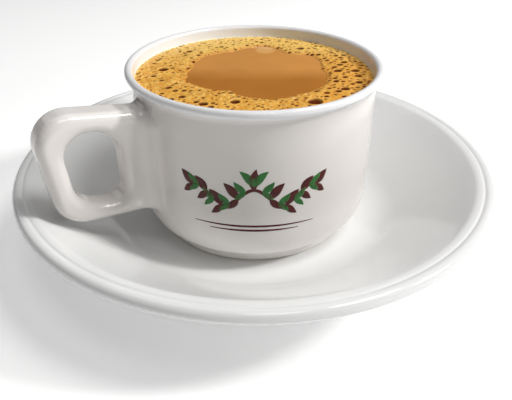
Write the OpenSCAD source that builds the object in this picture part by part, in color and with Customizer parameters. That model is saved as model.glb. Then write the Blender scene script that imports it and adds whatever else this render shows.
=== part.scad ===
// Milk tea in a white glazed cup that stands in the well of its saucer.
// Origin: centre of the saucer's foot, on the table. The handle points to -X.

/* [Saucer] */
// Radius of the saucer at the outside of its rolled rim
saucer_r = 74.5; // [72:0.5:78]
// Height of the middle of the rolled rim above the table
saucer_rim_z = 24.7; // [23:0.1:27]
// Radius of the rolled rim's section
saucer_bead_r = 1.9; // [1.6:0.1:2.2]
// Height of the well, where the cup stands
well_z = 6; // [5.5:0.1:7]
// Slope of the saucer's side, in degrees
side_slope = 36; // [34:1:38]
// Thickness of the saucer's wall
saucer_wall = 4; // [3.6:0.1:4.4]
// Outer radius of the saucer's foot ring
saucer_foot_r = 40; // [39:0.5:42]
// Width of the saucer's foot ring
saucer_foot_w = 4; // [3:0.1:5]

/* [Cup] */
// Radius of the cup at the outside of its lip
lip_r = 38; // [37.5:0.1:38.5]
// Height of the middle of the lip above the cup's foot
lip_z = 50.3; // [49:0.1:52]
// Radius of the lip's round section
lip_bead_r = 1.15; // [1.05:0.05:1.25]
// Outer radius of the wall just under the lip
wall_top_r = 36.2; // [36:0.1:36.5]
// Outer radius of the wall where the shoulder starts
wall_low_r = 36.5; // [36.3:0.1:36.8]
// Height of the shoulder's start above the cup's foot
shoulder_z = 14.3; // [13.5:0.1:15]
// How far the shoulder has come in at the lower edge
shoulder_inset = 1.9; // [1.6:0.1:2.2]
// Height of the sharp lower edge above the cup's foot
edge_z = 6.1; // [5.8:0.1:6.4]
// Outer radius of the cup's foot ring
cup_foot_r = 30.3; // [29.5:0.1:31]
// Width of the cup's foot ring
cup_foot_w = 3.2; // [2.6:0.1:3.8]
// Height of the recess inside the cup's foot ring
cup_foot_h = 2; // [1.6:0.1:2.4]
// Thickness of the cup's wall below the lip
cup_wall = 3.3; // [3:0.1:3.6]
// Thickness of the cup's floor
cup_floor = 4; // [3.6:0.1:4.4]

/* [Handle] */
// Thickness of the handle, across its loop
handle_t = 9.6; // [9:0.1:10.4]
// Width of the handle's strap, seen from the side
strap_w = 5.6; // [5:0.1:6]
// Radius that rounds the strap's edges
handle_edge_r = 2.3; // [2:0.1:2.4]
// Reach of the loop's upper outer corner from the cup's axis
reach_top = 67.4; // [66:0.1:69]
// Reach of the loop's lower outer corner from the cup's axis
reach_low = 64; // [62.5:0.1:65.5]
// Round of the loop's upper outer corner
top_corner_r = 8.8; // [8:0.1:9.5]
// Round of the loop's lower outer corner
low_corner_r = 9.5; // [8.5:0.1:10]
// Width of the fillet where the loop's faces meet the wall
root_fillet = 5.5; // [4:0.1:6]

/* [Tea] */
// Depth of the tea's surface below the middle of the lip
tea_drop = 3; // [2.8:0.1:3.6]
// Height of the froth above the tea
froth_h = 1.1; // [0.8:0.1:1.3]
// Size of the clear pool in the froth, as a share of its usual size
pool_share = 1; // [0.85:0.01:1.1]

/* [Hidden] */
$fn = 120;

// Saucer: the side is a straight slope that leaves the well on an arc
well_arc_r = 25;
rim_land_w = 5.2;
rim_land_drop = 0.2;
bead_start = -100;
bead_end = 98;
side_top = [saucer_r - rim_land_w, saucer_rim_z + saucer_bead_r - rim_land_drop];
slope_foot_z = well_z + well_arc_r * (1 - cos(side_slope));
slope_foot_r = side_top[0] - (side_top[1] - slope_foot_z) / tan(side_slope);
arc_mid_r = slope_foot_r - well_arc_r * sin(side_slope);
under_arc_r = well_arc_r + saucer_wall;
under_start = asin((saucer_foot_r - arc_mid_r) / under_arc_r);
under_foot_z = well_z + well_arc_r - under_arc_r * cos(under_start);

// Cup: heights are above the cup's own foot, which stands in the well
edge_r = wall_low_r - shoulder_inset;
shoulder_drop = shoulder_z - edge_z;
shoulder_r = (shoulder_drop * shoulder_drop + shoulder_inset * shoulder_inset) / (2 * shoulder_inset);
shoulder_turn = asin(shoulder_drop / shoulder_r);
foot_bevel = 0.5;
foot_flare = 0.6;
foot_top_z = edge_z - 1.6;
edge_bevel = [1, 0.6];
neck_flare = 0.3;
neck_low_z = lip_z - 3.2;
neck_top_z = lip_z - 1.8;
bead_underside = -70;
lip_in_r = lip_r - 2 * lip_bead_r;
lip_in_z = lip_z - 0.4;
throat_r = wall_top_r - cup_wall;
throat_z = lip_z - 12;
throat_top_r = lip_in_r - 0.3;
throat_top_z = lip_z - 2.2;
floor_z = cup_foot_h + cup_floor;
floor_round = 8;
tea_z = lip_z - tea_drop;

// Handle: outer corners of the loop as [distance from the axis, height above the cup's foot],
// and the rounds of the line through the middle of its strap
root_r = wall_top_r - 1.6;
root_margin = 3;
loop_in_r = 39;
loop_in_top_z = 45.7;
loop_in_low_z = 14.6;
loop_in_rounds = [5, 4];
fillet_bite = 0.2;
fillet_lap = 2;
fillet_gap = 1;
side_lap = 0.4;
round_grow = 0.04;
LOOP = [[loop_in_r, loop_in_top_z], [loop_in_r, loop_in_low_z], [reach_low, 16.4], [reach_top, 50.1]];
LOOP_ROUND = concat(loop_in_rounds, [low_corner_r - strap_w / 2, top_corner_r - strap_w / 2]);

// Clear pool in the froth: its corners as [across, away], seen with the handle to the left and
// a little to the front, and the round that all its corners have
front_turn = -32;
pool_round = 3;
POOL = [
    [-20, -8], [-19, 4], [-17, 15], [-8, 19.5], [3, 27], [11, 18],
    [20, 15.5], [20.5, 3], [21, -8], [12, -17], [3, -21], [-7, -14]
];

function unit(v) = v / norm(v);
function heading(v) = atan2(v[1], v[0]);
function arc(mid, r, a0, a1, steps) =
    [for (i = [0:steps]) mid + r * [cos(a0 + (a1 - a0) * i / steps), sin(a0 + (a1 - a0) * i / steps)]];
function before(list, i) = list[(i + len(list) - 1) % len(list)];
function after(list, i) = list[(i + 1) % len(list)];

// Angle inside corner i of a list of corners, and the unit direction that halves it
function corner_angle(c, i) = acos(unit(before(c, i) - c[i]) * unit(after(c, i) - c[i]));
function halfway(c, i) = unit(unit(before(c, i) - c[i]) + unit(after(c, i) - c[i]));

// The same corners with every side moved inwards by d, and the middle of corner i's round
function inset(c, d) = [for (i = [0:len(c) - 1]) c[i] + halfway(c, i) * d / sin(corner_angle(c, i) / 2)];
function round_mid(c, i, r) = c[i] + halfway(c, i) * r / sin(corner_angle(c, i) / 2);
function to_before(c, i, r) = c[i] + unit(before(c, i) - c[i]) * r / tan(corner_angle(c, i) / 2);
function to_after(c, i, r) = c[i] + unit(after(c, i) - c[i]) * r / tan(corner_angle(c, i) / 2);

// Section of the handle's strap, with round edges; grow makes it that much fuller all round
module strap_section(grow = 0) {
    x = strap_w / 2 - handle_edge_r;
    y = handle_t / 2 - handle_edge_r;
    r = handle_edge_r + grow;
    polygon(concat(
        arc([x, y], r, 0, 90, 5),
        arc([-x, y], r, 90, 180, 5),
        arc([-x, -y], r, 180, 270, 5),
        arc([x, -y], r, 270, 360, 5)
    ));
}

// Straight stretch of the strap that follows corner i of the loop, run a little into the rounds
module strap_side(c, radii, i) {
    next = (i + 1) % len(c);
    start = to_after(c, i, radii[i]);
    end = to_before(c, next, radii[next]);
    translate([start[0], start[1], 0])
        rotate([0, 0, heading(end - start)])
            rotate([90, 0, 90])
                translate([0, 0, -side_lap])
                    linear_extrude(norm(end - start) + 2 * side_lap)
                        strap_section();
}

// Round of the strap at corner i of the loop, a hair fuller than the stretches that it joins
module strap_corner(c, radii, i) {
    mid = round_mid(c, i, radii[i]);
    sweep = 180 - corner_angle(c, i);
    translate([mid[0], mid[1], 0])
        rotate([0, 0, heading(c[i] - mid) - sweep / 2])
            rotate_extrude(angle = sweep)
                translate([radii[i], 0])
                    strap_section(round_grow);
}

// Closed loop of the strap, and the block that joins it to the wall
module handle_loop() {
    line = inset(LOOP, strap_w / 2);
    for (i = [0:3])
        strap_side(line, LOOP_ROUND, i);
    for (i = [0:3])
        strap_corner(line, LOOP_ROUND, i);
    root_low = LOOP[1][1] + root_margin;
    root_high = LOOP[0][1] - root_margin;
    translate([root_r, root_low, -handle_t / 2])
        cube([line[0][0] - root_r, root_high - root_low, handle_t]);
}

// Fillets between the loop's two faces and the round wall, set into both a little
module handle_root() {
    face = handle_t / 2;
    mid_y = face + root_fillet - fillet_bite;
    mid_dist = wall_top_r + root_fillet - fillet_bite;
    mid_x = sqrt(mid_dist * mid_dist - mid_y * mid_y);
    touch_y = wall_top_r * mid_y / mid_dist;
    low = LOOP[1][1] + root_margin;
    translate([0, 0, low])
        linear_extrude(LOOP[0][1] - root_margin - low)
            for (side = [0, 1])
                mirror([0, side])
                    difference() {
                        translate([root_r - fillet_lap, 0])
                            square([mid_x - root_r + fillet_lap - fillet_gap, touch_y]);
                        translate([mid_x, mid_y])
                            circle(r = root_fillet);
                    }
}

module saucer_profile() {
    arc_mid = [arc_mid_r, well_z + well_arc_r];
    polygon(concat(
        [[0, well_z - saucer_wall], [saucer_foot_r - saucer_foot_w, well_z - saucer_wall]],
        [[saucer_foot_r - saucer_foot_w, 0], [saucer_foot_r, 0], [saucer_foot_r, under_foot_z]],
        arc(arc_mid, under_arc_r, under_start - 90, side_slope - 90, 6),
        arc([saucer_r - saucer_bead_r, saucer_rim_z], saucer_bead_r, bead_start, bead_end, 14),
        [side_top],
        arc(arc_mid, well_arc_r, side_slope - 90, -90, 10),
        [[0, well_z]]
    ));
}

module cup_profile() {
    polygon(concat(
        [[0, cup_foot_h], [cup_foot_r - cup_foot_w, cup_foot_h]],
        [[cup_foot_r - cup_foot_w + foot_bevel, 0], [cup_foot_r, 0], [cup_foot_r + foot_flare, foot_top_z]],
        [[edge_r, edge_z] - edge_bevel, [edge_r, edge_z]],
        arc([wall_low_r - shoulder_r, shoulder_z], shoulder_r, -shoulder_turn, 0, 8),
        [[wall_top_r, neck_low_z], [wall_top_r + neck_flare, neck_top_z]],
        arc([lip_r - lip_bead_r, lip_z], lip_bead_r, bead_underside, 180, 12),
        [[0, lip_z]]
    ));
}

// Inside of the cup, from its floor to above the lip
module cup_inside() {
    rotate_extrude()
        polygon(concat(
            [[0, floor_z]],
            arc([throat_r - floor_round, floor_z + floor_round], floor_round, -90, 0, 8),
            [[throat_r, throat_z], [throat_top_r, throat_top_z], [lip_in_r, lip_in_z]],
            [[lip_in_r, lip_z + 2 * lip_bead_r], [0, lip_z + 2 * lip_bead_r]]
        ));
}

module pool_outline() {
    rotate([0, 0, front_turn])
        scale(pool_share)
            offset(r = pool_round)
                offset(delta = -pool_round)
                    polygon(POOL);
}

module saucer() {
    color("white")
        rotate_extrude()
            saucer_profile();
}

module cup() {
    color("whitesmoke")
        translate([0, 0, well_z])
            difference() {
                union() {
                    rotate_extrude()
                        cup_profile();
                    rotate([0, 0, 180]) {
                        rotate([90, 0, 0])
                            handle_loop();
                        handle_root();
                    }
                }
                cup_inside();
            }
}

module chai() {
    color("peru")
        translate([0, 0, well_z])
            intersection() {
                cup_inside();
                cylinder(h = tea_z, r = lip_r);
            }
}

module froth() {
    color("burlywood")
        translate([0, 0, well_z])
            intersection() {
                cup_inside();
                translate([0, 0, tea_z])
                    linear_extrude(froth_h)
                        difference() {
                            circle(r = lip_r);
                            pool_outline();
                        }
            }
}

saucer();
cup();
chai();
froth();
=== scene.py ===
import math

import bpy
import numpy as np
from mathutils import Matrix, Vector


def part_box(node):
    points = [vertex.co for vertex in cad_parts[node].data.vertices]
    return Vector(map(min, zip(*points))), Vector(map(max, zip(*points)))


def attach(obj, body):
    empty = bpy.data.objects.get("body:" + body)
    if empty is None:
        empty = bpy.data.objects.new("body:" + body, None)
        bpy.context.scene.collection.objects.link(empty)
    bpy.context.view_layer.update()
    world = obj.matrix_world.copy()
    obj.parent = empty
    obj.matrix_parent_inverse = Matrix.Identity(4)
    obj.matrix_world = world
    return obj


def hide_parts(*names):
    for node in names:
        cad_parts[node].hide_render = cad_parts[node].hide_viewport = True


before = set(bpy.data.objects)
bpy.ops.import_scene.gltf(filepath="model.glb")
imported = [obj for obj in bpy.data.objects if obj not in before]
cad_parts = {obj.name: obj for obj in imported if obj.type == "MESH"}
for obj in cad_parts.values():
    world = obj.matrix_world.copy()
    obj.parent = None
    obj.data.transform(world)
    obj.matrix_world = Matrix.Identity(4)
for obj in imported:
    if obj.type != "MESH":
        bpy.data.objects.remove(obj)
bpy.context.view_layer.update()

# Lengths are in millimetres unless a name or comment says otherwise; meshes are scaled to metres when made.
# Heights on the cup are above its foot, and WELL is the height of that foot above the floor.
# EASE is how far the pieces stay inside the CAD's box.
MM = 0.001
EASE = 0.04
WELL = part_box("cup")[0].z / MM
LIP_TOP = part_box("cup")[1].z / MM - WELL
RIM_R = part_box("saucer")[1].x / MM
TEA_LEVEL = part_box("chai")[1].z / MM
FROTH_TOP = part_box("froth")[1].z / MM


# ---------------------------------------------------------------- small tools

def smooth_step(low, high, x):
    t = np.clip((x - low) / (high - low), 0.0, 1.0)
    return t * t * (3 - 2 * t)


def arc(mid, radius, start, end, steps):
    angles = np.radians(np.linspace(start, end, steps + 1))
    return [(mid[0] + radius * math.cos(a), mid[1] + radius * math.sin(a)) for a in angles]


def rounded(corners, closed=True, turn_step=9.0):
    """Path through corners (x, y, radius): each corner with a radius becomes an arc."""
    points = [np.array(c[:2], float) for c in corners]
    count = len(points)
    path = []
    for i, corner in enumerate(corners):
        radius = corner[2] if len(corner) > 2 else 0.0
        if radius == 0 or (not closed and i in (0, count - 1)):
            path.append(tuple(points[i]))
            continue
        back = points[i - 1] - points[i]
        ahead = points[(i + 1) % count] - points[i]
        back /= np.linalg.norm(back)
        ahead /= np.linalg.norm(ahead)
        half = math.acos(float(np.clip(back @ ahead, -1, 1))) / 2
        bisector = (back + ahead) / np.linalg.norm(back + ahead)
        mid = points[i] + bisector * radius / math.sin(half)
        start = points[i] + back * radius / math.tan(half) - mid
        end = points[i] + ahead * radius / math.tan(half) - mid
        a0 = math.atan2(start[1], start[0])
        turn = math.atan2(end[1], end[0]) - a0
        turn = (turn + math.pi) % (2 * math.pi) - math.pi
        steps = max(2, math.ceil(abs(math.degrees(turn)) / turn_step))
        for k in range(steps + 1):
            a = a0 + turn * k / steps
            path.append((mid[0] + radius * math.cos(a), mid[1] + radius * math.sin(a)))
    return path


def path_distance(px, py, path):
    """Signed distance from points to a closed path, negative inside it."""
    best = np.full(px.shape, np.inf)
    inside = np.zeros(px.shape, bool)
    ends = path[1:] + path[:1]
    for (ax, ay), (bx, by) in zip(path, ends):
        ex, ey = bx - ax, by - ay
        length = ex * ex + ey * ey
        if length < 1e-12:
            continue
        wx, wy = px - ax, py - ay
        t = np.clip((wx * ex + wy * ey) / length, 0, 1)
        best = np.minimum(best, (wx - ex * t) ** 2 + (wy - ey * t) ** 2)
        if ay != by:
            inside ^= ((ay > py) != (by > py)) & (wx < ex * wy / ey)
    return np.where(inside, -1, 1) * np.sqrt(best)


def distance_table(path, low, high, step):
    """Lookup of a path's signed distance, read between the points of a fine grid."""
    nx, ny = (int(math.ceil((high[i] - low[i]) / step)) + 1 for i in (0, 1))
    gx, gy = np.meshgrid(low[0] + step * np.arange(nx), low[1] + step * np.arange(ny), indexing="ij")
    table = path_distance(gx, gy, path)

    def look_up(x, y):
        fx = np.clip((x - low[0]) / step, 0, nx - 1.001)
        fy = np.clip((y - low[1]) / step, 0, ny - 1.001)
        i, j = fx.astype(int), fy.astype(int)
        u, v = fx - i, fy - j
        near = table[i, j] * (1 - v) + table[i, j + 1] * v
        far = table[i + 1, j] * (1 - v) + table[i + 1, j + 1] * v
        return near * (1 - u) + far * u

    return look_up


def mesh_piece(name, points, faces, normals=None, smooth=True):
    """Object from points in millimetres; normals, where given, are one per point."""
    mesh = bpy.data.meshes.new(name)
    mesh.from_pydata((np.asarray(points, float) * MM).tolist(), [], [list(map(int, f)) for f in faces])
    mesh.validate()
    mesh.polygons.foreach_set("use_smooth", [smooth] * len(mesh.polygons))
    if normals is not None:
        mesh.normals_split_custom_set_from_vertices(np.asarray(normals, float).tolist())
    mesh.update()
    piece = bpy.data.objects.new(name, mesh)
    bpy.context.scene.collection.objects.link(piece)
    return piece


def point_colours(piece, name, values):
    """Colour attribute with one value in 0..1 for each channel and point."""
    colours = np.ones((len(values), 4), np.float32)
    colours[:, :3] = np.clip(values, 0, 1)
    layer = piece.data.color_attributes.new(name, "FLOAT_COLOR", "POINT")
    layer.data.foreach_set("color", colours.ravel())


def lathe(profile, around, wave=None):
    """Points and faces of a profile (r, z) turned about Z; it may start and end on the axis."""
    points, faces, rows = [], [], []
    angles = np.linspace(0, 2 * math.pi, around, endpoint=False)
    for r, z in profile:
        if r < 1e-6:
            rows.append([len(points)] * around)
            points.append((0.0, 0.0, z))
            continue
        rows.append(list(range(len(points), len(points) + around)))
        for a in angles:
            points.append((r * math.cos(a), r * math.sin(a), z))
    for low, high in zip(rows[:-1], rows[1:]):
        for i in range(around):
            j = (i + 1) % around
            corners = [low[i], low[j], high[j], high[i]]
            face = [c for k, c in enumerate(corners) if c != corners[k - 1]]
            if len(face) > 2:
                faces.append(face)
    points = np.array(points)
    if wave is not None:
        points = points + wave(points)
    return points, faces


def waves(seed, size, count=7):
    """Smooth wobble between about -1 and 1, with features of about that size."""
    rng = np.random.default_rng(seed)
    directions = rng.normal(size=(count, 3))
    directions /= np.linalg.norm(directions, axis=1, keepdims=True)
    rates = 2 * math.pi / (size * rng.uniform(0.7, 1.6, count))
    phases = rng.uniform(0, 2 * math.pi, count)

    def wobble(p):
        total = np.zeros(p.shape[:-1])
        for d, k, f in zip(directions, rates, phases):
            total += np.sin(p @ d * k + f)
        return total / math.sqrt(2 * count)

    return wobble


# ---------------------------------------------------------------- materials

def material(name, colour, roughness):
    made = bpy.data.materials.new(name)
    made.use_nodes = True
    shader = made.node_tree.nodes["Principled BSDF"]
    shader.inputs["Base Color"].default_value = (*colour, 1)
    shader.inputs["Roughness"].default_value = roughness
    return made, made.node_tree, shader


def node(tree, kind, **values):
    made = tree.nodes.new(kind)
    for key, value in values.items():
        if key in made.inputs:
            made.inputs[key].default_value = value
        else:
            setattr(made, key, value)
    return made


def noise(tree, where, scale, detail=3.0, rough=0.5):
    made = node(tree, "ShaderNodeTexNoise", Scale=scale, Detail=detail, Roughness=rough)
    tree.links.new(where, made.inputs["Vector"])
    return made.outputs["Fac"]


def ramp(tree, value, stops, ease="LINEAR"):
    made = tree.nodes.new("ShaderNodeValToRGB")
    made.color_ramp.interpolation = ease
    while len(made.color_ramp.elements) < len(stops):
        made.color_ramp.elements.new(0.5)
    for element, (place, colour) in zip(made.color_ramp.elements, stops):
        element.position = place
        element.color = (*colour, 1) if len(colour) == 3 else colour
    tree.links.new(value, made.inputs["Fac"])
    return made.outputs["Color"]


def blend_colour(tree, factor, first, second, mode="MIX"):
    made = tree.nodes.new("ShaderNodeMix")
    made.data_type = "RGBA"
    made.blend_type = mode
    for slot, value in (("Factor", factor), ("A", first), ("B", second)):
        socket = [s for s in made.inputs if s.name == slot and s.type in ("VALUE", "RGBA")]
        socket = [s for s in socket if (s.type == "VALUE") == (slot == "Factor")][0]
        if isinstance(value, bpy.types.NodeSocket):
            tree.links.new(value, socket)
        else:
            socket.default_value = value if slot == "Factor" else (*value, 1)
    return [s for s in made.outputs if s.type == "RGBA"][0]


def maths(tree, operation, first, second=0.0, third=0.0, clamp=False):
    made = node(tree, "ShaderNodeMath", operation=operation, use_clamp=clamp)
    for i, value in enumerate((first, second, third)):
        if isinstance(value, bpy.types.NodeSocket):
            tree.links.new(value, made.inputs[i])
        else:
            made.inputs[i].default_value = value
    return made.outputs[0]


def fade(tree, value, low, high):
    """0 at low and 1 at high, straight in between and level beyond."""
    return maths(tree, "MULTIPLY_ADD", value, 1 / (high - low), -low / (high - low), True)


def position(tree):
    """Place on the piece in metres, and its X, Y and Z."""
    place = node(tree, "ShaderNodeTexCoord").outputs["Object"]
    split = node(tree, "ShaderNodeSeparateXYZ")
    tree.links.new(place, split.inputs[0])
    return place, split.outputs["X"], split.outputs["Y"], split.outputs["Z"]


def bump(tree, height, distance, strength=1.0, below=None):
    made = node(tree, "ShaderNodeBump", Strength=strength, Distance=distance)
    tree.links.new(height, made.inputs["Height"])
    if below is not None:
        tree.links.new(below, made.inputs["Normal"])
    return made.outputs["Normal"]


PINHOLE_SHARE = 0.18
PINHOLE_BROWN = (0.36, 0.33, 0.30)
BISCUIT_DARK, BISCUIT_PALE = (0.60, 0.56, 0.49), (0.72, 0.69, 0.62)
COOL_WHITE = (0.91, 0.95, 1.0)
LIP_COOLING = 0.5


def glaze(name, tint, foot_low, foot_high, mouth=None):
    """White glaze with faint waviness, a few pinholes and a bare, matt foot ring.

    Inside the mouth, given as (radius, height) in metres, and on the lip it's a cooler white,
    which offsets the warm light that the froth throws there.
    """
    made, tree, shader = material(name, tint, 0.1)
    place, x, y, height = position(tree)
    broad = noise(tree, place, 38.0, 2.0)
    fine = noise(tree, place, 900.0, 3.0)
    body = ramp(tree, broad, [(0.3, tint), (0.7, tuple(0.975 * c for c in tint))])
    pits = node(tree, "ShaderNodeTexVoronoi", Scale=95.0, Randomness=1.0)
    tree.links.new(place, pits.inputs["Vector"])
    pick = node(tree, "ShaderNodeSeparateColor")
    tree.links.new(pits.outputs["Color"], pick.inputs[0])
    chosen = maths(tree, "GREATER_THAN", pick.outputs[0], 1 - PINHOLE_SHARE)
    spot = ramp(tree, pits.outputs["Distance"], [(0.018, (1, 1, 1)), (0.05, (0, 0, 0))], "EASE")
    spot = maths(tree, "MULTIPLY", spot, chosen)
    if mouth is not None:
        mouth_r, mouth_z = mouth
        across = maths(tree, "MULTIPLY", x, x)
        across = maths(tree, "SQRT", maths(tree, "MULTIPLY_ADD", y, y, across))
        within = fade(tree, across, mouth_r, mouth_r - 0.0003)
        above = fade(tree, height, mouth_z - 0.008, mouth_z - 0.004)
        inside = maths(tree, "MULTIPLY", within, above)
        lip = maths(tree, "MULTIPLY", fade(tree, height, mouth_z - 0.001, mouth_z + 0.001), LIP_COOLING)
        body = blend_colour(tree, maths(tree, "MAXIMUM", inside, lip), body, COOL_WHITE)
    body = blend_colour(tree, maths(tree, "MULTIPLY", spot, 0.25), body, PINHOLE_BROWN)
    bare = fade(tree, height, foot_high, foot_low)
    biscuit = ramp(tree, fine, [(0.3, BISCUIT_DARK), (0.7, BISCUIT_PALE)])
    tree.links.new(blend_colour(tree, bare, body, biscuit), shader.inputs["Base Color"])
    gloss = maths(tree, "MULTIPLY_ADD", broad, 0.06, 0.07)
    tree.links.new(maths(tree, "MULTIPLY_ADD", bare, 0.6, gloss), shader.inputs["Roughness"])
    soft = bump(tree, broad, 0.0006, 0.35)
    grain = bump(tree, fine, 0.00003, 0.25, soft)
    tree.links.new(bump(tree, spot, 0.00012, 0.6, grain), shader.inputs["Normal"])
    shader.inputs["IOR"].default_value = 1.52
    return made


# ---------------------------------------------------------------- saucer

def saucer_path():
    """Closed section of the saucer from the axis underneath, round the rim, back to the axis."""
    well_z, recess_z = 6.0, 2.0
    foot_in, foot_out = 34.2, 40.0
    slope, side_r, wall = 36.0, 25.0, 4.0
    side_top = (68.3, 25.67)
    lean = math.radians(slope)
    arc_top = (side_top[0] - (side_top[1] - well_z - side_r * (1 - math.cos(lean))) / math.tan(lean))
    mid = (arc_top - side_r * math.sin(lean), well_z + side_r)
    side = arc(mid, side_r, slope - 90, -90, 16)
    start = math.degrees(math.asin((foot_out - mid[0]) / (side_r + wall)))
    under = arc(mid, side_r + wall, start - 90, slope - 90, 10)
    section = rounded([
        (0, recess_z), (foot_in, recess_z, 0.8), (foot_in + 1.4, EASE, 0.7), (foot_out, EASE, 0.8),
        (under[0][0] + 0.3, under[0][1], 1.2), under[3]], closed=False) + under[4:-1]
    # Rolled rim, then a narrow land that bends down into the side
    bead_r = 1.9
    bead = (RIM_R - EASE - bead_r, 24.7)
    neck = (bead[0] - 0.9, bead[1] - bead_r - 0.15)
    land_end = (66.5, 24.33)
    section += rounded(
        [under[-2], under[-1] + (2.0,), neck + (0.5,), (bead[0], bead[1] - bead_r)], closed=False)[1:-1]
    roll = arc(bead, bead_r, -92, 119, 26)
    section += roll[:-1] + rounded(
        [roll[-1], (71.36, 26.24, 0.25), (70.75, 26.43, 0.4), (69.35, 26.40, 3.6), land_end], closed=False)
    for t in np.linspace(0, 1, 9)[1:]:
        section.append(tuple(np.array(land_end) * (1 - t) + np.array(side[0]) * t))
    return section + side[1:] + [(r, well_z) for r in (30, 26, 22, 18, 13, 8, 4, 0)]


SAUCER_SAG = 0.09
saucer_wobble = waves(3, 60.0)


def saucer_wave(p):
    """Slight sag of the dish and rim, uneven round the saucer, as glazed ware has."""
    share = smooth_step(38.0, 66.0, np.hypot(p[:, 0], p[:, 1])) * smooth_step(2.0, 9.0, p[:, 2])
    lift = -SAUCER_SAG * (1 + saucer_wobble(p)) * share
    return np.stack([0 * lift, 0 * lift, lift], 1)


saucer_points, saucer_faces = lathe(saucer_path(), 288, saucer_wave)
saucer = mesh_piece("saucer_dish", saucer_points, saucer_faces)
saucer.data.materials.append(glaze("saucer_glaze_look", (0.83, 0.835, 0.83), 0.0003, 0.0007))
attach(saucer, "root")
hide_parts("saucer")


# ---------------------------------------------------------------- cup with its handle

FLOOR_Z, RECESS_Z = 6.0, 2.0
INSIDE_R, INSIDE_CORNER = 32.9, 8.0
WALL_FOOT, WALL_HEAD = (36.5, 14.3), (36.2, 47.3)
SHOULDER_TALL, SHOULDER_IN = 8.2, 1.9
BEAD_R = 1.15
LIP_R = 38.0 - EASE
LIP_Z = LIP_TOP - EASE - BEAD_R
HANDLE_T = 9.4
HANDLE_EDGE = 2.45

shoulder_r = (SHOULDER_TALL ** 2 + SHOULDER_IN ** 2) / (2 * SHOULDER_IN)
shoulder_turn = math.degrees(math.asin(SHOULDER_TALL / shoulder_r))
shoulder = arc((WALL_FOOT[0] - shoulder_r, WALL_FOOT[1]), shoulder_r, -shoulder_turn, 0, 14)
CUP_OUTSIDE = rounded([
    (0, RECESS_Z), (26.9, RECESS_Z, 0.8), (27.5, 0.02, 0.5), (30.3, 0.02, 0.7), (30.75, 4.5, 1.2),
    (33.7, 5.45, 0.5), shoulder[0] + (0.45,), shoulder[2]], closed=False)[:-1] + shoulder[2:]
CUP_OUTSIDE += rounded(
    [shoulder[-1], WALL_HEAD + (3.0,), (36.55, 48.7, 0.5), (36.95, 49.35)], closed=False)[1:]
CUP_OUTSIDE += arc((LIP_R - BEAD_R, LIP_Z), BEAD_R, -62, 90, 18)
CUP_INSIDE = arc((LIP_R - BEAD_R, LIP_Z), BEAD_R, 90, 180, 10)
CUP_INSIDE += rounded([
    CUP_INSIDE[-1], (LIP_R - 2 * BEAD_R - 0.25, LIP_Z - 2.0, 4.0), (INSIDE_R, 38.0, 20.0),
    (INSIDE_R, FLOOR_Z, INSIDE_CORNER), (0, FLOOR_Z)], closed=False)[1:]

# Distances to the cup's two outlines, closed beyond the axis, and to the handle's two loops
TABLE_STEP = 0.06
BEYOND_AXIS, OVER_LIP = -8.0, 70.0
SECTION_BOX = ((-1.0, -2.5), (72.0, 54.0))
LOOP_BOX = ((25.0, 0.0), (72.0, 54.0))
cup_outer = distance_table(
    [(BEYOND_AXIS, RECESS_Z)] + CUP_OUTSIDE[1:] + [(BEYOND_AXIS, CUP_OUTSIDE[-1][1])],
    *SECTION_BOX, TABLE_STEP)
cup_void = distance_table(
    [(BEYOND_AXIS, OVER_LIP), (CUP_INSIDE[0][0], OVER_LIP)] + CUP_INSIDE[:-1] + [(BEYOND_AXIS, FLOOR_Z)],
    *SECTION_BOX, TABLE_STEP)
loop_outside = rounded([(30.0, 44.1, 0), (67.4 - EASE, 50.1, 8.8), (64.0, 16.4, 9.5), (30.0, 13.7, 0)])
loop_hole = rounded([(44.6, 41.0, 8.0), (60.5, 43.7, 6.6), (58.4, 21.1, 8.6), (44.6, 19.2, 3.8)])
loop_out = distance_table(loop_outside, *LOOP_BOX, TABLE_STEP)
loop_in = distance_table(loop_hole, *LOOP_BOX, TABLE_STEP)
WALL_WAVE = 0.035
cup_wobble = waves(11, 34.0)


def joined(a, b, radius):
    """Union of two solids with a round fillet of that radius between them."""
    u = np.maximum(radius - a, 0)
    v = np.maximum(radius - b, 0)
    return np.maximum(radius, np.minimum(a, b)) - np.sqrt(u * u + v * v)


# Handle: how much its sides bulge, where its loop begins, its fillets to the wall (at its ends,
# and how much more between them), and the mould seam beside it (angle, slant, width, height)
HANDLE_CROWN = 0.25
HANDLE_FROM = 20
FILLET_ENDS, FILLET_MORE = 2.2, 3.4
SEAM_TURN, SEAM_SLANT, SEAM_WIDE, SEAM_TALL = 11.6, 0.09, 1.1, 0.22


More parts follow.
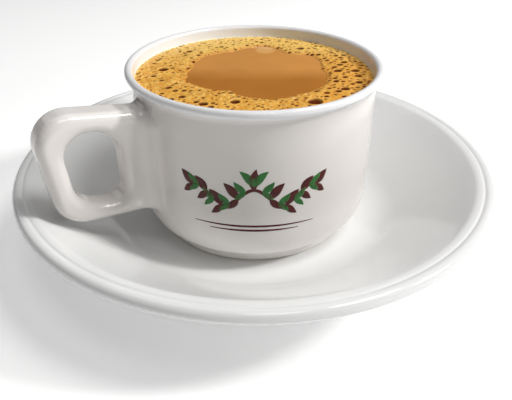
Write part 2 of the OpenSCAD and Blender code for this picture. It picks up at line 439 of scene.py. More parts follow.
def cup_filled(p):
    """Signed distance to the cup as if it weren't hollow, above its foot, with the handle towards -X."""
    x, y, z = p[..., 0], p[..., 1], p[..., 2]
    r = np.hypot(x, y)
    on_wall = smooth_step(11.0, 16.0, z) * smooth_step(47.0, 43.0, z)
    body = cup_outer(r, z) + WALL_WAVE * cup_wobble(p) * on_wall
    reach = -x
    flat = np.maximum(loop_out(reach, z), -loop_in(reach, z)) + HANDLE_EDGE
    crown = HANDLE_CROWN * smooth_step(0.0, 3.0, -(flat - HANDLE_EDGE))
    side = np.abs(y) - (HANDLE_T / 2 - 0.2 + crown) + HANDLE_EDGE
    handle = np.minimum(np.maximum(flat, side), 0) \
        + np.hypot(np.maximum(flat, 0), np.maximum(side, 0)) - HANDLE_EDGE
    handle = np.where(reach > HANDLE_FROM, handle, 30.0)
    fillet = FILLET_ENDS + FILLET_MORE * smooth_step(47.5, 40.0, z) * smooth_step(11.0, 17.0, z)
    both = joined(body, handle, fillet)
    turn = np.degrees(np.arctan2(np.abs(y), -x))
    seam = np.exp(-((turn - (SEAM_TURN - SEAM_SLANT * (z - 30))) / SEAM_WIDE) ** 2)
    seam = seam * smooth_step(13.0, 18.0, z) * smooth_step(49.0, 45.0, z) * smooth_step(40.5, 37.0, r)
    return both - SEAM_TALL * seam


def cup_hollow(p):
    return np.maximum(cup_filled(p), -cup_void(np.hypot(p[..., 0], p[..., 1]), p[..., 2]))


def surface_net(axes, distance, allowed):
    """Quad mesh of a distance function's zero surface in the allowed cells of a grid."""
    gx, gy, gz = np.meshgrid(*axes, indexing="ij")
    value = distance(np.stack([gx, gy, gz], -1))
    inside = value < 0
    shape = tuple(n - 1 for n in value.shape)
    corners = [(a, b, c) for a in (0, 1) for b in (0, 1) for c in (0, 1)]
    count = np.zeros(shape, np.int8)
    for a, b, c in corners:
        count += inside[a:a + shape[0], b:b + shape[1], c:c + shape[2]]
    mids = [(axis[1:] + axis[:-1]) / 2 for axis in axes]
    cells = np.argwhere((count > 0) & (count < 8) & allowed(*np.meshgrid(*mids, indexing="ij")))
    index = np.full(shape, -1, np.int64)
    index[tuple(cells.T)] = np.arange(len(cells))
    total = np.zeros((len(cells), 3))
    hits = np.zeros(len(cells))
    for a in corners:
        for axis in range(3):
            if a[axis]:
                continue
            b = list(a)
            b[axis] = 1
            ia = tuple((cells + a).T)
            ib = tuple((cells + b).T)
            va, vb = value[ia], value[ib]
            crossed = (va < 0) != (vb < 0)
            t = np.where(crossed, va / np.where(crossed, va - vb, 1), 0)
            pa = np.stack([axes[k][ia[k]] for k in range(3)], 1)
            pb = np.stack([axes[k][ib[k]] for k in range(3)], 1)
            total += np.where(crossed[:, None], pa + (pb - pa) * t[:, None], 0)
            hits += crossed
    points = total / hits[:, None]
    faces = []
    for axis in range(3):
        u, v = (axis + 1) % 3, (axis + 2) % 3
        low = [slice(None)] * 3
        high = [slice(None)] * 3
        low[axis], high[axis] = slice(None, -1), slice(1, None)
        first, second = inside[tuple(low)], inside[tuple(high)]
        edges = np.argwhere(first != second)
        keep = (edges[:, u] > 0) & (edges[:, v] > 0)
        keep &= (edges[:, u] < value.shape[u] - 1) & (edges[:, v] < value.shape[v] - 1)
        edges = edges[keep]
        step_u, step_v = np.zeros(3, int), np.zeros(3, int)
        step_u[u], step_v[v] = 1, 1
        ring = [edges - step_u - step_v, edges - step_v, edges, edges - step_u]
        quads = np.stack([index[tuple(e.T)] for e in ring], 1)
        outwards = first[tuple(edges.T)]
        quads[~outwards] = quads[~outwards][:, ::-1]
        faces.append(quads[(quads >= 0).all(1)])
    return points, np.concatenate(faces)


def slope(distance, p, reach):
    """Gradient of a distance function."""
    return np.stack([distance(p + reach * e) - distance(p - reach * e) for e in np.eye(3)], 1) / (2 * reach)


def settle(distance, points, rounds):
    """Points moved onto the zero surface, and the surface's normals there."""
    for _ in range(rounds):
        rise = slope(distance, points, 0.05)
        move = -distance(points)[:, None] * rise / np.maximum((rise ** 2).sum(1, keepdims=True), 0.2)
        length = np.linalg.norm(move, axis=1, keepdims=True)
        points = points + move * np.minimum(1, 0.35 / np.maximum(length, 1e-9))
    normals = slope(distance, points, 0.1)
    return points, normals / np.linalg.norm(normals, axis=1, keepdims=True)


def open_loops(faces):
    """Loops of points along the open edges of a mesh, each in the order that its edges run."""
    edges = set()
    for face in faces.tolist():
        for a, b in zip(face, face[1:] + face[:1]):
            if (b, a) in edges:
                edges.remove((b, a))
            else:
                edges.add((a, b))
    following = dict(sorted(edges))
    loops = []
    while following:
        start, here = next(iter(following.items()))
        loop = [start]
        del following[start]
        while here != start:
            loop.append(here)
            here = following.pop(here)
        loops.append(loop)
    return loops


def zipped(points, first, second):
    """Triangles between two loops round the axis, both given as point numbers."""
    def by_angle(loop):
        turn = [math.atan2(points[i][1], points[i][0]) for i in loop]
        order = np.argsort(turn)
        ring = [loop[k] for k in order]
        turn = [turn[k] for k in order]
        return ring + ring[:1], turn + [turn[0] + 2 * math.pi]

    a, turn_a = by_angle(first)
    b, turn_b = by_angle(second)
    triangles = []
    i = j = 0
    while i < len(a) - 1 or j < len(b) - 1:
        if j == len(b) - 1 or (i < len(a) - 1 and turn_a[i + 1] < turn_b[j + 1]):
            triangles.append((a[i], a[i + 1], b[j]))
            i += 1
        else:
            triangles.append((a[i], b[j + 1], b[j]))
            j += 1
    return triangles


def spaced(stops):
    """Grid coordinates from (start, spacing) pairs, the last start being the end."""
    made = []
    for (start, step), (end, _) in zip(stops[:-1], stops[1:]):
        made.append(np.linspace(start, end, max(1, round((end - start) / step)), endpoint=False))
    return np.concatenate(made + [[stops[-1][0]]])


# The net covers the filled cup between these heights, and the handle; turned parts cover the rest
BAND_LOW, BAND_HIGH = 10.6, 47.9
HANDLE_ONLY = 41.5
GRID = 0.62
AROUND_CUP = 256


def in_band(x, y, z):
    return ((z > BAND_LOW) & (z < BAND_HIGH)) | (np.hypot(x, y) > HANDLE_ONLY)


def turned_part(section):
    """Points, faces and normals of a part of the cup that is a plain turned shape."""
    points, faces = lathe(section, AROUND_CUP)
    return points, faces, settle(cup_hollow, points, 0)[1]


net_points, net_faces = surface_net([
    spaced([(-68.4, GRID), (39.0, 0)]),
    spaced([(-39.0, GRID), (39.0, 0)]),
    spaced([(8.0, GRID), (52.6, 0)]),
], cup_filled, in_band)
net_points, net_normals = settle(cup_filled, net_points, 4)
below = [p for p in CUP_OUTSIDE if p[1] < BAND_LOW - 0.2]
above = [p for p in CUP_OUTSIDE if p[1] > BAND_HIGH + 0.2] + CUP_INSIDE[1:]
foot_points, foot_faces, foot_normals = turned_part(below)
lip_points, lip_faces, lip_normals = turned_part(above)
cup_points = np.concatenate([foot_points, net_points, lip_points]) + (0, 0, WELL)
first_net, first_lip = len(foot_points), len(foot_points) + len(net_points)
loops = sorted(open_loops(net_faces), key=lambda loop: net_points[loop[0]][2])
low_loop, high_loop = ([first_net + i for i in loop] for loop in (loops[0], loops[-1]))
cup_faces = [tuple(f) for f in foot_faces]
cup_faces += (net_faces + first_net).tolist()
cup_faces += [tuple(first_lip + i for i in f) for f in lip_faces]
cup_faces += zipped(cup_points, list(range(first_net - AROUND_CUP, first_net)), low_loop)
cup_faces += zipped(cup_points, high_loop, list(range(first_lip, first_lip + AROUND_CUP)))
cup = mesh_piece("cup_body", cup_points, cup_faces, np.concatenate([foot_normals, net_normals, lip_normals]))
cup.data.materials.append(glaze(
    "cup_glaze_look", (0.81, 0.775, 0.745), (WELL + 0.3) * MM, (WELL + 0.8) * MM,
    mouth=(36.1 * MM, (WELL + 48.5) * MM)))
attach(cup, "root")
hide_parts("cup")


# ---------------------------------------------------------------- tea

TEA_R = 35.62
TEA_REACH = 0.3
VIEW_TURN = math.radians(-32)
TEA_DEEP, TEA_PALE = (0.465, 0.180, 0.033), (0.665, 0.300, 0.078)
# Painted highlight on the tea: where it is, its radius and its colour
GLINT_AT, GLINT_R, GLINT_TONE = (3.6, 21.6), 6.0, (0.86, 0.52, 0.19)


def turned(x, y):
    """Place given across and away as seen from the front, in the part's own axes."""
    c, s = math.cos(VIEW_TURN), math.sin(VIEW_TURN)
    return x * c - y * s, x * s + y * c


# Corners of the clear pool, across and away as seen from the front
POOL = [
    (-20, -8), (-19, 4), (-17, 15), (-8, 19.5), (3, 27), (11, 18),
    (20, 15.5), (20.5, 3), (21, -8), (12, -17), (3, -21), (-7, -14),
]
pool_path = np.array(rounded([(*turned(x, y), 3.6) for x, y in POOL], turn_step=5.0))
pool_turns = np.degrees(np.arctan2(pool_path[:, 1], pool_path[:, 0]))
pool_reach = np.hypot(pool_path[:, 0], pool_path[:, 1])
edge_wobble = waves(21, 7.0)
edge_fine = waves(22, 2.2)


def pool_edge(a):
    """Distance of the pool's edge from the cup's axis in direction a, in degrees."""
    near = np.interp(a, pool_turns, pool_reach, period=360)
    p = np.stack([near * np.cos(np.radians(a)), near * np.sin(np.radians(a)), 0 * near], -1)
    return near + 0.30 * edge_wobble(p) + 0.25 * edge_fine(p)


def inside_radius(z):
    """Radius of the cup's inner wall at a height above the cup's foot."""
    low, high = np.full(np.shape(z), 25.0), np.full(np.shape(z), 37.0)
    for _ in range(24):
        mid = (low + high) / 2
        within = cup_void(mid, np.asarray(z, float)) < 0
        low, high = np.where(within, mid, low), np.where(within, high, mid)
    return low


tea_z = TEA_LEVEL - WELL
tea_profile = [(0, FLOOR_Z - TEA_REACH)]
tea_profile += arc(
    (INSIDE_R - INSIDE_CORNER, FLOOR_Z + INSIDE_CORNER), INSIDE_CORNER + TEA_REACH, -90, 0, 10)
for z in (20.0, 30.0, 38.0, 42.0, 45.0, tea_z - 1.0, tea_z):
    tea_profile.append((float(inside_radius(z)) + TEA_REACH, z))
tea_profile += [(r, tea_z) for r in (34.0, 31.0, 28.0, 25.0, 22.0, 19.0, 16.0, 13.0, 10.0, 7.0, 4.0, 2.0, 0)]
tea_points, tea_faces = lathe([(r, z + WELL) for r, z in tea_profile], 192)
tea = mesh_piece("tea", tea_points, tea_faces)


def tea_look():
    """Milky tea, paler away from the viewer, with a round painted highlight, standing in for a lamp's
    reflection, near the pool's far end.
    """
    made, tree, shader = material("tea_look", (0.5, 0.2, 0.05), 0.06)
    place, x, y, _ = position(tree)
    swirl = noise(tree, place, 45.0, 4.0, 0.55)
    along = maths(tree, "MULTIPLY", x, -math.sin(VIEW_TURN))
    along = maths(tree, "MULTIPLY_ADD", y, math.cos(VIEW_TURN), along)
    along = maths(tree, "MULTIPLY_ADD", swirl, 0.006, along)
    colour = blend_colour(tree, fade(tree, along, -0.0025, 0.0075), TEA_DEEP, TEA_PALE)
    # Painted highlight: a soft spot standing in for a lamp's reflection on the tea
    glint_x, glint_y = (MM * c for c in turned(*GLINT_AT))
    aside = maths(tree, "SUBTRACT", x, glint_x)
    ahead = maths(tree, "SUBTRACT", y, glint_y)
    gap = maths(tree, "MULTIPLY_ADD", aside, aside, maths(tree, "MULTIPLY", ahead, ahead))
    gap = maths(tree, "MULTIPLY_ADD", swirl, 0.0022, maths(tree, "SQRT", gap))
    gap = maths(tree, "MULTIPLY", gap, 1 / (GLINT_R * MM))
    film_and_glint = ramp(tree, gap, [(0.60, (1, 1, 1)), (0.80, (0, 0, 0))], "EASE")
    colour = blend_colour(tree, maths(tree, "MULTIPLY", film_and_glint, 0.55), colour, GLINT_TONE)
    mottled = ramp(tree, swirl, [(0.35, (0.94, 0.94, 0.94)), (0.65, (1.05, 1.05, 1.05))])
    tree.links.new(blend_colour(tree, 1.0, colour, mottled, "MULTIPLY"), shader.inputs["Base Color"])
    shader.inputs["IOR"].default_value = 1.36
    tree.links.new(bump(tree, swirl, 0.0003, 0.12), shader.inputs["Normal"])
    return made


tea.data.materials.append(tea_look())
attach(tea, "root")
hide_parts("chai")


# ---------------------------------------------------------------- froth

FROTH_H = FROTH_TOP - TEA_LEVEL
FROTH_SINK = 0.3
CLEAR_OF_POOL = 15.0
BUBBLES = 900
froth_rng = np.random.default_rng(40)

# The largest open bubbles, across and away as seen from the front, and their radii
BIG = [
    (-27.4, 1.4, 1.7), (-13.4, -24.3, 1.4), (-5.1, -23.0, 1.5), (16.1, -22.9, 2.2), (25.1, 0.8, 1.4),
    (30.3, 0.9, 1.5), (30.6, -3.4, 1.3), (25.4, -13.6, 1.4), (15.2, 21.8, 1.4), (-21.3, 18.5, 1.2),
    (-19.0, 9.5, 0.9), (-29.5, -4.0, 0.9), (30.0, -8.5, 1.2), (23.6, -7.6, 1.0), (-24.0, -13.0, 1.1),
    (28.0, 8.5, 1.2), (27.4, 12.9, 0.9), (-19.5, -19.5, 1.1), (26.6, -4.4, 1.0), (-11.0, 23.5, 0.9),
]


def froth_mix(across, away):
    """Share of open bubbles, and their smallest and largest radius, at a place on the froth."""
    if across > 17:
        return 0.80, 0.46, 1.15
    if away > 12:
        return 0.48, 0.34, 0.78
    if away < -14:
        return 0.66, 0.38, 0.98
    return 0.60, 0.34, 0.82


def place_bubbles(wanted):
    """Bubbles that don't overlap: x, y, radius, and 1 where the bubble is open."""
    made = np.zeros((wanted, 4))
    for i, (across, away, r) in enumerate(BIG):
        made[i] = (*turned(across, away), r, 1)
    count = len(BIG)
    for _ in range(60 * wanted):
        if count == wanted:
            break
        far = math.sqrt(froth_rng.uniform(CLEAR_OF_POOL ** 2, TEA_R ** 2))
        a = froth_rng.uniform(-180, 180)
        across, away = far * math.cos(math.radians(a)), far * math.sin(math.radians(a))
        x, y = turned(across, away)
        opened, small, large = froth_mix(across, away)
        r = small + (large - small) * froth_rng.random() ** 2.2
        is_open = froth_rng.random() < opened
        edge = float(pool_edge(math.degrees(math.atan2(y, x))))
        if not edge + 0.7 * r < far < TEA_R - 0.9 * r:
            continue
        near = made[:count]
        if (np.hypot(near[:, 0] - x, near[:, 1] - y) > 1.04 * (near[:, 2] + r)).all():
            made[count] = (x, y, r, is_open)
            count += 1
    return made[:count]


bubbles = place_bubbles(BUBBLES)

# Grid of the froth's top: rows from the pool out to the wall, columns round the cup
ROWS, AROUND = ((80, 880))
angle = np.linspace(-180, 180, AROUND, endpoint=False)
share = np.linspace(0, 1, ROWS) ** 1.1
inner = pool_edge(angle)
radius = inner[None, :] + (TEA_R + 0.12 - inner[None, :]) * share[:, None]
fx = radius * np.cos(np.radians(angle))[None, :]
fy = radius * np.sin(np.radians(angle))[None, :]
across = fx * math.cos(VIEW_TURN) + fy * math.sin(VIEW_TURN)
away = fy * math.cos(VIEW_TURN) - fx * math.sin(VIEW_TURN)


def cell_noise(x, y, size, seed):
    """Distance to the nearest and second nearest point of a jittered grid, in units of size."""
    repeat = 64
    table = np.random.default_rng(seed).random((repeat, repeat, 2))
    i, j = np.floor(x / size).astype(int), np.floor(y / size).astype(int)
    first, second = np.full(x.shape, np.inf), np.full(x.shape, np.inf)
    for a in (-1, 0, 1):
        for b in (-1, 0, 1):
            jitter = table[(i + a) % repeat, (j + b) % repeat]
            d = np.hypot(i + a + jitter[..., 0] - x / size, j + b + jitter[..., 1] - y / size)
            second = np.minimum(second, np.maximum(first, d))
            first = np.minimum(first, d)
    return first, second


# Height of the froth above the tea, painted shade in open holes, and paleness with painted highlights on
# cells and bubble rims, at each grid point
GRAIN_TALL, PATCH_TALL = 0.20, 0.08
HOLE_DEEP, HOLE_RIM, DOME_RIM = 0.5, 0.14, 0.06
grain = np.zeros_like(fx)
for size, seed, weight in ((1.9, 5, 0.60), (0.95, 6, 0.40)):
    near, second = cell_noise(fx, fy, size, seed)
    grain += weight * np.clip(1 - (near / 0.6) ** 2, 0, 1) * smooth_step(0.0, 0.3, second - near)
into = radius - inner[None, :]
out = TEA_R - radius
base = FROTH_H * (0.22 + 0.26 * smooth_step(0.0, 3.5, into) - 0.10 * smooth_step(3.0, 0.0, out))
patches = waves(31, 6.0)(np.stack([fx, fy, 0 * fx], -1))
body = smooth_step(0.1, 1.6, into)
rise = base + PATCH_TALL * patches * body + GRAIN_TALL * grain * body
hole_shade = np.zeros_like(fx)
# Paleness: the foam's own patchy tone, with painted highlights on the raised cells
pale_and_highlight = 0.30 + 0.55 * grain * body + 0.10 * patches
for x, y, r, opened in bubbles:
    d = np.hypot(fx - x, fy - y) / r
    hit = d < 1.55
    if not hit.any():
        continue
    q = d[hit]
    rim = np.exp(-((q - 1.06) / 0.20) ** 2)
    bowl = np.sqrt(np.clip(1 - q * q, 0, 1))
    fade = smooth_step(1.5, 1.05, q)
    if opened:
        level = base[hit] + HOLE_RIM * r * rim - HOLE_DEEP * r * bowl
        # Painted shade inside an open bubble, deeper for larger bubbles
        depth = 0.55 + 0.45 * min(1.0, r / 0.75)
        hole_shade[hit] = np.maximum(hole_shade[hit], smooth_step(1.03, 0.84, q) * depth)
    else:
        level = base[hit] + DOME_RIM * r * rim
    rise[hit] = rise[hit] * (1 - fade) + level * fade
    # Less paleness round each bubble, and a painted highlight on its rim
    pale_and_highlight[hit] = np.maximum(pale_and_highlight[hit] * (1 - 0.5 * fade), 0.70 * rim)
rise = np.clip(rise, 0.05, FROTH_H - EASE)
rise *= smooth_step(-0.25, 0.8, into)
rise[0] = 0.02
top = np.stack([fx, fy, TEA_LEVEL + rise], -1).reshape(-1, 3)
under = np.stack([fx[[0, -1]], fy[[0, -1]], np.full((2, AROUND), TEA_LEVEL - FROTH_SINK)], -1).reshape(-1, 3)
froth_points = np.concatenate([top, under])
low_in, low_out = ROWS * AROUND, (ROWS + 1) * AROUND
froth_faces = []
for i in range(AROUND):
    j = (i + 1) % AROUND
    for k in range(ROWS - 1):
        froth_faces.append((k * AROUND + i, (k + 1) * AROUND + i, (k + 1) * AROUND + j, k * AROUND + j))
    last = (ROWS - 1) * AROUND
    froth_faces.append((last + i, low_out + i, low_out + j, last + j))
    froth_faces.append((low_out + i, low_in + i, low_in + j, low_out + j))
    froth_faces.append((low_in + i, i, j, low_in + j))
froth = mesh_piece("tea_froth", froth_points, froth_faces)
blank = np.zeros((2 * AROUND, 3))
foam = np.stack([hole_shade, pale_and_highlight, smooth_step(1.5, 0.2, out)], -1).reshape(-1, 3)
zones = [smooth_step(2.6, 0.0, into), smooth_step(-10.0, 30.0, across), smooth_step(4.0, 26.0, away)]
zones = np.stack(zones, -1).reshape(-1, 3)
point_colours(froth, "foam", np.concatenate([foam, blank]))
point_colours(froth, "zones", np.concatenate([zones, blank]))


def channels(tree, layer):
    colour = node(tree, "ShaderNodeVertexColor", layer_name=layer)
    parts = node(tree, "ShaderNodeSeparateColor")
    tree.links.new(colour.outputs["Color"], parts.inputs[0])
    return parts.outputs


# Froth colours along its paleness; the palest stop carries the painted highlights
FROTH_TONES = [(0.10, (0.60, 0.24, 0.034)), (0.38, (0.77, 0.385, 0.060)),
               (0.62, (0.85, 0.52, 0.112)), (0.9, (0.97, 0.72, 0.27))]
RIGHT_TONE, FAR_TONE, POOL_TONE = (0.80, 0.36, 0.055), (0.95, 0.69, 0.20), (0.68, 0.30, 0.058)
EDGE_NEAR, EDGE_FAR, EDGE_RIGHT = (0.93, 0.67, 0.20), (0.97, 0.90, 0.46), (0.99, 0.66, 0.15)
# Painted shade for the open holes, far below the tea's own colour
HOLE_SHADE = (0.105, 0.018, 0.003)


def froth_look():
    """Foam: paler away from the viewer and at the wall, browner at the pool, with painted highlights on its
    cells and bubble rims, and dull with painted shade in its holes.
    """
    made, tree, shader = material("froth_look", (0.7, 0.4, 0.1), 0.34)
    place = position(tree)[0]
    shaded_hole, light, wall_edge = channels(tree, "foam")[:3]
    pool_side, right_side, far_side = channels(tree, "zones")[:3]
    broad = noise(tree, place, 140.0, 3.0, 0.6)
    tiny = noise(tree, place, 1700.0, 2.0, 0.6)
    colour = ramp(tree, light, FROTH_TONES)
    warm = ramp(tree, broad, [(0.3, (0.92, 0.86, 0.78)), (0.7, (1.08, 1.07, 1.08))])
    colour = blend_colour(tree, 1.0, colour, warm, "MULTIPLY")
    colour = blend_colour(tree, maths(tree, "MULTIPLY", right_side, 0.50), colour, RIGHT_TONE)
    colour = blend_colour(tree, maths(tree, "MULTIPLY", far_side, 0.50), colour, FAR_TONE)
    grit = ramp(tree, tiny, [(0.3, (0.95, 0.93, 0.90)), (0.65, (1.03, 1.03, 1.03))])
    colour = blend_colour(tree, 1.0, colour, grit, "MULTIPLY")
    colour = blend_colour(tree, maths(tree, "MULTIPLY", pool_side, 0.62), colour, POOL_TONE)
    edge_tone = blend_colour(tree, far_side, EDGE_NEAR, EDGE_FAR)
    edge_tone = blend_colour(tree, right_side, edge_tone, EDGE_RIGHT)
    colour = blend_colour(tree, maths(tree, "MULTIPLY", wall_edge, 0.7), colour, edge_tone)
    # Painted shade in the open holes
    colour = blend_colour(tree, shaded_hole, colour, HOLE_SHADE)
    tree.links.new(colour, shader.inputs["Base Color"])
    tree.links.new(maths(tree, "MULTIPLY_ADD", shaded_hole, 0.45, 0.34), shader.inputs["Roughness"])
    tree.links.new(maths(tree, "MULTIPLY_ADD", shaded_hole, -0.42, 0.5), shader.inputs["Specular IOR Level"])
    shader.inputs["IOR"].default_value = 1.38
    tree.links.new(bump(tree, tiny, 0.0001, 0.15), shader.inputs["Normal"])
    return made


froth.data.materials.append(froth_look())
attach(froth, "root")
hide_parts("froth")

# Closed bubbles: a low glossy dome on the froth for each
DOME_SIDES, DOME_RINGS = 14, 4
DOME_WIDE, DOME_TALL = 0.98, 0.5
DOME_LEVEL = 0.16
dome_points, dome_faces = [], []
for x, y, r, opened in bubbles:
    if opened:
        continue
    start = len(dome_points)
    from_pool = math.hypot(x, y) - float(pool_edge(math.degrees(math.atan2(y, x))))
    level = TEA_LEVEL + DOME_LEVEL + DOME_LEVEL * min(1.0, from_pool / 3)
    for k in range(DOME_RINGS):
        lean = math.radians(90 * k / DOME_RINGS)
        for i in range(DOME_SIDES):
            a = 2 * math.pi * i / DOME_SIDES
            reach = DOME_WIDE * r * math.cos(lean)
            tall = DOME_TALL * r * math.sin(lean)
            dome_points.append((x + reach * math.cos(a), y + reach * math.sin(a), level + tall))
    peak = len(dome_points)
    dome_points.append((x, y, level + DOME_TALL * r))
    for k in range(DOME_RINGS - 1):
        for i in range(DOME_SIDES):
            j = (i + 1) % DOME_SIDES
            low_row, high_row = start + k * DOME_SIDES, start + (k + 1) * DOME_SIDES
            dome_faces.append((low_row + i, low_row + j, high_row + j, high_row + i))
    last = start + (DOME_RINGS - 1) * DOME_SIDES
    for i in range(DOME_SIDES):
        dome_faces.append((last + i, last + (i + 1) % DOME_SIDES, peak))
    dome_faces.append(tuple(range(start + DOME_SIDES - 1, start - 1, -1)))
highest = (math.inf, math.inf, FROTH_TOP - EASE)
domes = mesh_piece("froth_bubbles", np.minimum(dome_points, highest), dome_faces)


def dome_look():
    made, tree, shader = material("bubble_look", (0.7, 0.4, 0.1), 0.12)
    film_and_glint = noise(tree, position(tree)[0], 420.0, 2.0)
    colour = ramp(tree, film_and_glint, [
        (0.3, (0.60, 0.31, 0.055)), (0.5, (0.74, 0.44, 0.10)), (0.7, (0.86, 0.62, 0.22))])
    tree.links.new(colour, shader.inputs["Base Color"])
    shader.inputs["IOR"].default_value = 1.40
    return made


domes.data.materials.append(dome_look())
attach(domes, "root")


# ---------------------------------------------------------------- print on the cup's front

PRINT_FACE = -90.0
PRINT_R = 36.4
PRINT_LIFT, PRINT_SINK = 0.06, 0.12
ACROSS = np.linspace(-1, 1, 5)


def wall_radius(height):
    return np.interp(height, [WALL_FOOT[1], WALL_HEAD[1]], [WALL_FOOT[0], WALL_HEAD[0]])


def ribbon(points, faces, line, widths):
    """Adds a thin closed strip on the cup's wall: middle line as (along, height), and half widths."""
    line, widths = np.array(line, float), np.array(widths, float)
    ahead = np.gradient(line, axis=0)
    ahead /= np.linalg.norm(ahead, axis=1, keepdims=True)
    side = np.stack([-ahead[:, 1], ahead[:, 0]], 1)
    start, count = len(points), len(line)
    for lift in (PRINT_LIFT, -PRINT_SINK):
        for c, n, w in zip(line, side, widths):
            for u in ACROSS:
                along, height = c + n * w * u
                r = float(wall_radius(height)) + lift
                a = math.radians(PRINT_FACE) + along / PRINT_R + VIEW_TURN
                points.append((r * math.cos(a), r * math.sin(a), height + WELL))
    wide = len(ACROSS)
    under = count * wide

    def at(row, column, low=0):
        return start + low * under + row * wide + column

    last, far = count - 1, wide - 1
    for i in range(last):
        for k in range(far):
            faces.append((at(i, k), at(i + 1, k), at(i + 1, k + 1), at(i, k + 1)))
            faces.append((at(i, k, 1), at(i, k + 1, 1), at(i + 1, k + 1, 1), at(i + 1, k, 1)))
        faces.append((at(i, 0), at(i, 0, 1), at(i + 1, 0, 1), at(i + 1, 0)))
        faces.append((at(i, far), at(i + 1, far), at(i + 1, far, 1), at(i, far, 1)))
    for k in range(far):
        faces.append((at(0, k), at(0, k + 1), at(0, k + 1, 1), at(0, k, 1)))
        faces.append((at(last, k), at(last, k, 1), at(last, k + 1, 1), at(last, k + 1)))


def leaf(points, faces, foot, lean, length, width, bend):
    """Pointed leaf that starts at foot and leans that many degrees from the wall's level direction."""
    steps = 12
    t = np.linspace(0, 1, steps + 1)
    angle = np.radians(lean) + bend * (t - 0.3) * 2
    step = np.stack([np.cos(angle), np.sin(angle)], 1) * length / steps
    line = np.array(foot) + np.cumsum(step, axis=0) - step[0]
    ribbon(points, faces, line, 0.03 + width * np.sin(math.pi * t ** 0.8) ** 0.9)


VINE_HALF, VINE_MID, VINE_SWING, VINE_WAVES = 20.0, 26.0, 2.6, 2.5
LEAF_GAP = VINE_HALF / 4.6
SLIMMING = 1.5
vine_points, vine_faces, green_points, green_faces = [], [], [], []


def vine_height(along):
    """Height of the vine's stem, a wave along the wall."""
    return VINE_MID + VINE_SWING * math.cos(along / VINE_HALF * math.pi * VINE_WAVES)


stem = np.linspace(-VINE_HALF, VINE_HALF, 90)
stem_width = 0.16 + 0.30 * np.cos(stem / VINE_HALF * SLIMMING)
ribbon(vine_points, vine_faces, [(u, vine_height(u)) for u in stem], stem_width)
for level, half in ((17.0, 17.0), (15.6, 12.5)):
    line = np.linspace(-half, half, 60)
    ribbon(vine_points, vine_faces, [(u, level) for u in line], 0.06 + 0.26 * np.cos(line / half * SLIMMING))
for k in range(-4, 5):
    foot = (k * LEAF_GAP, vine_height(k * LEAF_GAP))
    outward = 1 if k >= 0 else -1
    top_lean = 90 - 34 * outward if k else 90
    leaf(vine_points, vine_faces, foot, top_lean, 6.4 - 0.35 * abs(k), 1.25, -0.2 * outward)
    if k:
        leaf(vine_points, vine_faces, foot, -90 + 40 * outward, 5.0 - 0.3 * abs(k), 1.0, 0.2 * outward)
for k in range(-4, 4):
    foot = ((k + 0.5) * LEAF_GAP, vine_height((k + 0.5) * LEAF_GAP))
    outward = 1 if k >= 0 else -1
    leaf(green_points, green_faces, foot, 90 - 52 * outward, 4.6, 0.95, 0.25 * outward)
    leaf(green_points, green_faces, foot, -90 + 58 * outward, 3.8, 0.8, -0.25 * outward)
for lean, bend in ((58, -0.3), (122, 0.3)):
    leaf(green_points, green_faces, (0, VINE_MID + VINE_SWING + 1.0), lean, 6.0, 1.1, bend)


def ink(name, colour):
    """Glazed-in print colour, slightly uneven."""
    made, tree, shader = material(name, colour, 0.3)
    shader.inputs["Specular IOR Level"].default_value = 0.3
    uneven = noise(tree, position(tree)[0], 600.0, 3.0, 0.6)
    tone = ramp(tree, uneven, [
        (0.3, tuple(0.8 * c for c in colour)), (0.7, tuple(1.25 * c for c in colour))])
    tree.links.new(tone, shader.inputs["Base Color"])
    return made


for name, points, faces, colour in (
        ("cup_print_vine", vine_points, vine_faces, (0.085, 0.009, 0.009)),
        ("cup_print_leaves", green_points, green_faces, (0.030, 0.17, 0.035))):
    printed = mesh_piece(name, points, faces)
    printed.data.materials.append(ink(name + "_ink", colour))
    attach(printed, "root")


# ---------------------------------------------------------------- stage, light and camera

FLOOR_HALF = 3000
floor_points = [(x * FLOOR_HALF, y * FLOOR_HALF, 0) for x, y in ((-1, -1), (1, -1), (1, 1), (-1, 1))]
floor = mesh_piece("floor", floor_points, [(0, 1, 2, 3)])
floor_paint, _, floor_shader = material("floor_paint", (0.93, 0.93, 0.93), 0.9)
floor_shader.inputs["Specular IOR Level"].default_value = 0.1
floor_shader.inputs["Emission Color"].default_value = (1, 1, 1, 1)
floor_shader.inputs["Emission Strength"].default_value = 0.25
floor.data.materials.append(floor_paint)

scene = bpy.context.scene
scene.view_settings.view_transform = "Standard"
scene.view_settings.look = "None"
world = bpy.data.worlds.new("studio")
scene.world = world
world.use_nodes = True
sky = world.node_tree.nodes["Background"]
sky.inputs["Color"].default_value = (1.0, 1.0, 1.0, 1)
sky.inputs["Strength"].default_value = 0.01


LIGHT_AIM = (0, 0, 0.03)


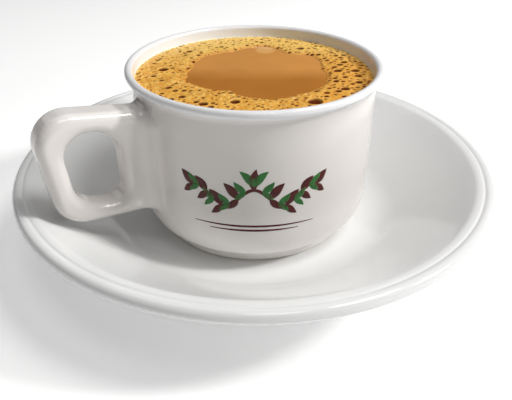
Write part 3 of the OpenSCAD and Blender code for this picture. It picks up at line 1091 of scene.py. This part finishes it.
def soft_light(name, azimuth, elevation, distance, size, power, colour=(1, 1, 1)):
    """Round area light aimed at the cup, in metres and watts.

    Azimuth is in degrees from the right as seen from the front, positive away from the viewer.
    """
    data = bpy.data.lights.new(name, "AREA")
    data.shape = "DISK"
    data.size = size
    data.energy = power
    data.color = colour
    lamp = bpy.data.objects.new(name, data)
    a, e = math.radians(azimuth), math.radians(elevation)
    x, y = turned(distance * math.cos(e) * math.cos(a), distance * math.cos(e) * math.sin(a))
    lamp.location = (x, y, distance * math.sin(e))
    aim = Vector(LIGHT_AIM) - lamp.location
    lamp.rotation_euler = aim.to_track_quat("-Z", "Y").to_euler()
    bpy.context.scene.collection.objects.link(lamp)


soft_light("key", -6, 36, 0.9, 0.13, 4.9, (1.0, 0.99, 0.98))
soft_light("high", -8, 62, 0.9, 0.30, 2.9, (1.0, 0.99, 0.98))
soft_light("overhead", 90, 78, 0.95, 1.1, 2.0)
soft_light("side", 150, 35, 0.9, 0.5, 0.5, (0.97, 0.98, 1.0))
soft_light("front", -75, 68, 0.9, 0.30, 0.85)

# Camera: distance in front of the cup's axis, height above the lip's bead, and the lens that the
# round outlines of lip, tea, foot and saucer call for together
CAMERA_BACK = 161.455
CAMERA_OVER_LIP = 56.216
CAMERA_UP = CAMERA_OVER_LIP + LIP_TOP - BEAD_R + WELL
LENS = 39.33
PITCH = math.radians(32.897)
PAN = math.radians(0.234)
ROLL = math.radians(0.194)
camera_data = bpy.data.cameras.new("camera")
camera_data.sensor_width = 36.0
camera_data.lens = LENS
camera_data.clip_start = 0.01
camera_data.clip_end = 20.0
camera = bpy.data.objects.new("camera", camera_data)
scene.collection.objects.link(camera)
eye_x, eye_y = turned(0.0, -CAMERA_BACK)
ahead_x, ahead_y = turned(math.sin(PAN), math.cos(PAN))
forward = Vector((ahead_x * math.cos(PITCH), ahead_y * math.cos(PITCH), -math.sin(PITCH)))
level = Vector((ahead_y, -ahead_x, 0)).normalized()
raised = level.cross(forward)
right = level * math.cos(ROLL) + raised * math.sin(ROLL)
upward = right.cross(forward)
turn = Matrix((right, upward, -forward)).transposed().to_4x4()
camera.matrix_world = Matrix.Translation(Vector((eye_x, eye_y, CAMERA_UP)) * MM) @ turn
scene.camera = camera
